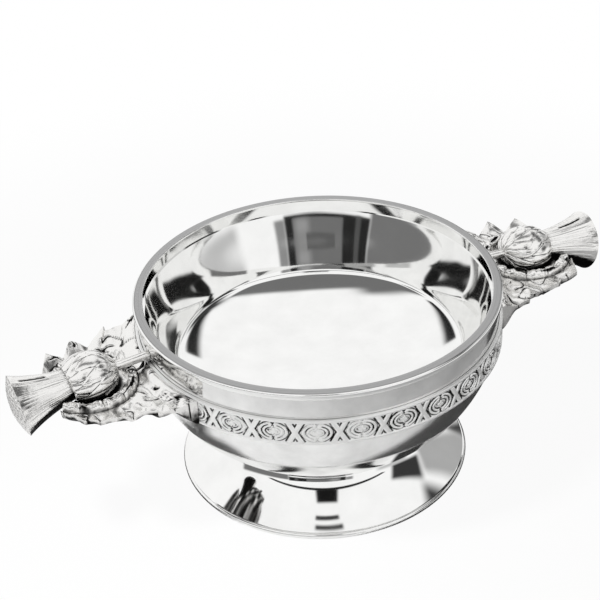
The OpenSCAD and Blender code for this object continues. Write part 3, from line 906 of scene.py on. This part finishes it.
def make_key():
    """A soft lamp and a small spot on the left, which light the paper. The metal doesn't mirror them."""
    side = TOWARDS * math.cos(LAMP_AZIMUTH) + RIGHT * math.sin(LAMP_AZIMUTH)
    place = (side * math.cos(LAMP_HEIGHT) + Vector((0, 0, math.sin(LAMP_HEIGHT)))) * LAMP_DISTANCE
    key = bpy.data.lights.new("key_lamp", "AREA")
    key.energy = KEY_WATTS
    key.size = KEY_SIZE / METRE
    spot = bpy.data.lights.new("spot_lamp", "SPOT")
    spot.energy = SPOT_WATTS
    spot.shadow_soft_size = SPOT_SIZE / METRE
    spot.spot_size = SPOT_CONE
    spot.spot_blend = 1.0
    for data, aim in ((key, Vector((0, 0, 0))), (spot, SPOT_AIM)):
        lamp = bpy.data.objects.new(data.name, data)
        turn = (place - aim).to_track_quat("Z", "Y").to_matrix().to_4x4()
        lamp.matrix_world = Matrix.Translation(place / METRE) @ turn
        lamp.visible_glossy = False
        bpy.context.scene.collection.objects.link(lamp)


# Screens in the tent's walls: from and to in degrees round from the camera's side, from and to in degrees
# of height, softness in degrees, and brightness
SCREENS = [
    # Greys on the right and the left of the inner wall
    (-88, -38, 2.5, 18, 2, 0.18),
    (52, 86, 5, 14, 4, 0.56),
    # The framed rectangle on the inner wall
    (19, 26, 11, 19.4, 1.5, 0.28),
    (-38, 19, 9, 19.6, 1, 0.02),
    (-32, -28.5, 9, 19.4, 1, 0.09),
    (-20, 13.5, 11.4, 19.6, 1, 0.17),
    (3, 12, 12, 19, 3, 0.32),
    (-15, 5, 18.2, 19.6, 0.5, 0.1),
    # The dark square on the foot's front
    (-12, 11, 37, 54, 2, 0.01),
    # Dark panels at the back and at the left
    (140, 172, 2, 21, 3, 0.05),
    (-116, -92, 44.5, 54, 1.5, 0.1),
    # The dark and the grey on the foot's right
    (68, 99, 14, 35, 3, 0.04),
    (101, 142, 6, 31, 4, 0.43),
    (97, 150, 38, 56, 4, 0.05),
]
# Bars and panels overhead: from and to at the right, from and to towards the camera, as shares of their
# height, softness, and brightness
OVERHEAD = [
    (-0.5, 0.35, -0.545, -0.2, 0.03, 0.17),
    (-0.5, -0.12, -0.62, -0.2, 0.05, 0.17),
    (-2.2, 2.2, 1.25, 1.47, 0.04, 0.01),
    (-0.13, 0.11, 0.445, 0.495, 0.015, 0.03),
    (-0.12, 0.13, 0.36, 0.4, 0.015, 0.03),
    (0.42, 0.54, -1.5, -0.72, 0.03, 0.02),
    (-0.54, -0.42, -1.5, -0.72, 0.03, 0.02),
]


def screened(tree, light, sides, soft, grey):
    """The light with a screen in it, which covers a range of each of two measures."""
    masks = []
    for measure, low, high in sides:
        off = add_node(tree, "ShaderNodeMath", {"operation": "SUBTRACT"}, {0: measure, 1: (low + high) / 2})
        away = add_node(tree, "ShaderNodeMath", {"operation": "ABSOLUTE"}, {0: off.outputs[0]})
        mask = add_node(tree, "ShaderNodeMapRange", {"interpolation_type": "SMOOTHSTEP"},
                        {"Value": away.outputs[0], "From Min": (high - low) / 2 - soft,
                         "From Max": (high - low) / 2 + soft, "To Min": 1.0, "To Max": 0.0})
        masks.append(mask.outputs["Result"])
    both = add_node(tree, "ShaderNodeMath", {"operation": "MULTIPLY"}, {0: masks[0], 1: masks[1]})
    mix = add_node(tree, "ShaderNodeMix", {"data_type": "FLOAT"},
                   {"Factor": both.outputs[0], "A": light, "B": grey})
    return mix.outputs["Result"]


def make_tent():
    """A white tent with grey screens and dark bars, which the metal mirrors. The paper gets little of it."""
    world = bpy.data.worlds.new("tent")
    bpy.context.scene.world = world
    world.use_nodes = True
    tree = world.node_tree
    tree.nodes.clear()
    place = add_node(tree, "ShaderNodeTexCoord").outputs["Generated"]
    ahead = add_node(tree, "ShaderNodeVectorMath", {"operation": "DOT_PRODUCT"}, {0: place, 1: TOWARDS})
    aside = add_node(tree, "ShaderNodeVectorMath", {"operation": "DOT_PRODUCT"}, {0: place, 1: RIGHT})
    rise = add_node(tree, "ShaderNodeSeparateXYZ", None, {0: place})
    around = add_node(tree, "ShaderNodeMath", {"operation": "ARCTAN2"},
                      {0: aside.outputs["Value"], 1: ahead.outputs["Value"]})
    height = add_node(tree, "ShaderNodeMath", {"operation": "ARCSINE"}, {0: rise.outputs["Z"]})
    degrees = [add_node(tree, "ShaderNodeMath", {"operation": "DEGREES"}, {0: angle.outputs[0]}).outputs[0]
               for angle in (around, height)]
    shares = [add_node(tree, "ShaderNodeMath", {"operation": "DIVIDE"},
                       {0: part.outputs["Value"], 1: rise.outputs["Z"]}).outputs[0]
              for part in (aside, ahead)]
    light = 1.0
    for measures, screens in ((shares, OVERHEAD), (degrees, SCREENS)):
        for first_from, first_to, second_from, second_to, soft, grey in screens:
            sides = ((measures[0], first_from, first_to), (measures[1], second_from, second_to))
            light = screened(tree, light, sides, soft, grey)
    path = add_node(tree, "ShaderNodeLightPath")
    from_paper = add_node(tree, "ShaderNodeMath", {"operation": "GREATER_THAN"},
                          {0: path.outputs["Diffuse Depth"], 1: 0.5})
    dim = add_node(tree, "ShaderNodeMix", {"data_type": "FLOAT"},
                   {"Factor": from_paper.outputs[0], "A": light, "B": TENT_ON_PAPER})
    walls = add_node(tree, "ShaderNodeBackground", None, {"Color": dim.outputs["Result"], "Strength": 1.0})
    white = add_node(tree, "ShaderNodeBackground", None, {"Color": (1, 1, 1, 1), "Strength": 1.0})
    shown = add_node(tree, "ShaderNodeMixShader", None,
                     {0: path.outputs["Is Camera Ray"], 1: walls.outputs[0], 2: white.outputs[0]})
    output = add_node(tree, "ShaderNodeOutputWorld")
    tree.links.new(shown.outputs[0], output.inputs["Surface"])


make_camera()
make_floor()
make_key()
make_tent()
make_body()
make_liner()
make_rim()
make_foot()
make_band()
for side, turn, seed in (("right", 0.0, 11), ("left", math.pi, 23)):
    make_thistle("thistle_casting_" + side, "thistle_" + side, turn, seed)
    make_leaf("leaf_casting_" + side, "leaf_" + side, turn, seed)

bpy.context.scene.view_settings.view_transform = "Standard"
